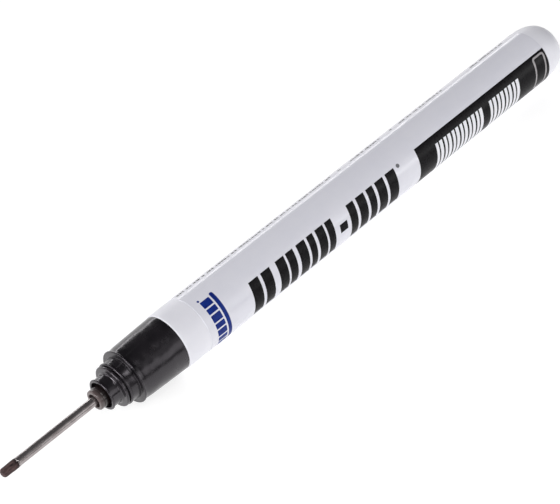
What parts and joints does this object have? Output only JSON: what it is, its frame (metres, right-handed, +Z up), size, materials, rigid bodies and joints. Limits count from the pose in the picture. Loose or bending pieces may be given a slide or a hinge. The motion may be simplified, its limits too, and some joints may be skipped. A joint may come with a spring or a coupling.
{
  "type": "needle-nose marker pen",
  "caption": "Uncapped fibre-tip marking pen: white barrel with printed wrap, stepped black nose, thin steel needle and dark fibre nib.",
  "frame": {"origin": "bottom centre of the bounding box: on the surface that the pen lies on, under the middle of its length", "axes": "+X along the pen from the nib to the closed rear end, +Y to the side, +Z up; the pen's axis is 5.85 mm above the origin"},
  "size_m": [0.148, 0.0116, 0.0117],
  "materials": {
    "barrel_white": "satin gloss moulded polypropylene, white with a cool tint",
    "label_film": null,
    "nose_black": "moulded black polypropylene, soft gloss, fine parting line",
    "holder_black": "moulded black plastic, gloss",
    "collar_brown": "dark brown moulded plastic, gloss",
    "needle_steel": "bright drawn stainless tube with fine lengthwise lines",
    "nib_fibre": "bonded fibre soaked with dark ink",
    "wick_fibre": "bonded fibre rod, ink stained",
    "reservoir_fibre": "ink-soaked polyester fibre bundle",
    "wrap_film": "thin translucent film"
  },
  "bodies": {
    "barrel_body": {"barrel": "barrel_white", "barrel_label": "label_film", "ink_reservoir": "reservoir_fibre", "reservoir_wrap": "wrap_film"},
    "front_unit": {"nose_housing": "nose_black", "needle_holder": "holder_black", "needle_collar": "collar_brown", "needle_tube": "needle_steel", "feed_wick": "wick_fibre"},
    "nib": {"nib": "nib_fibre"}
  },
  "joints": [
    {"name": "nose_pull", "type": "slide", "parent": "barrel_body", "child": "front_unit", "axis": [-1, 0, 0], "range_m": [0, 0.03]},
    {"name": "nib_pull", "type": "slide", "parent": "front_unit", "child": "nib", "axis": [-1, 0, 0], "range_m": [0, 0.009]}
  ]
}
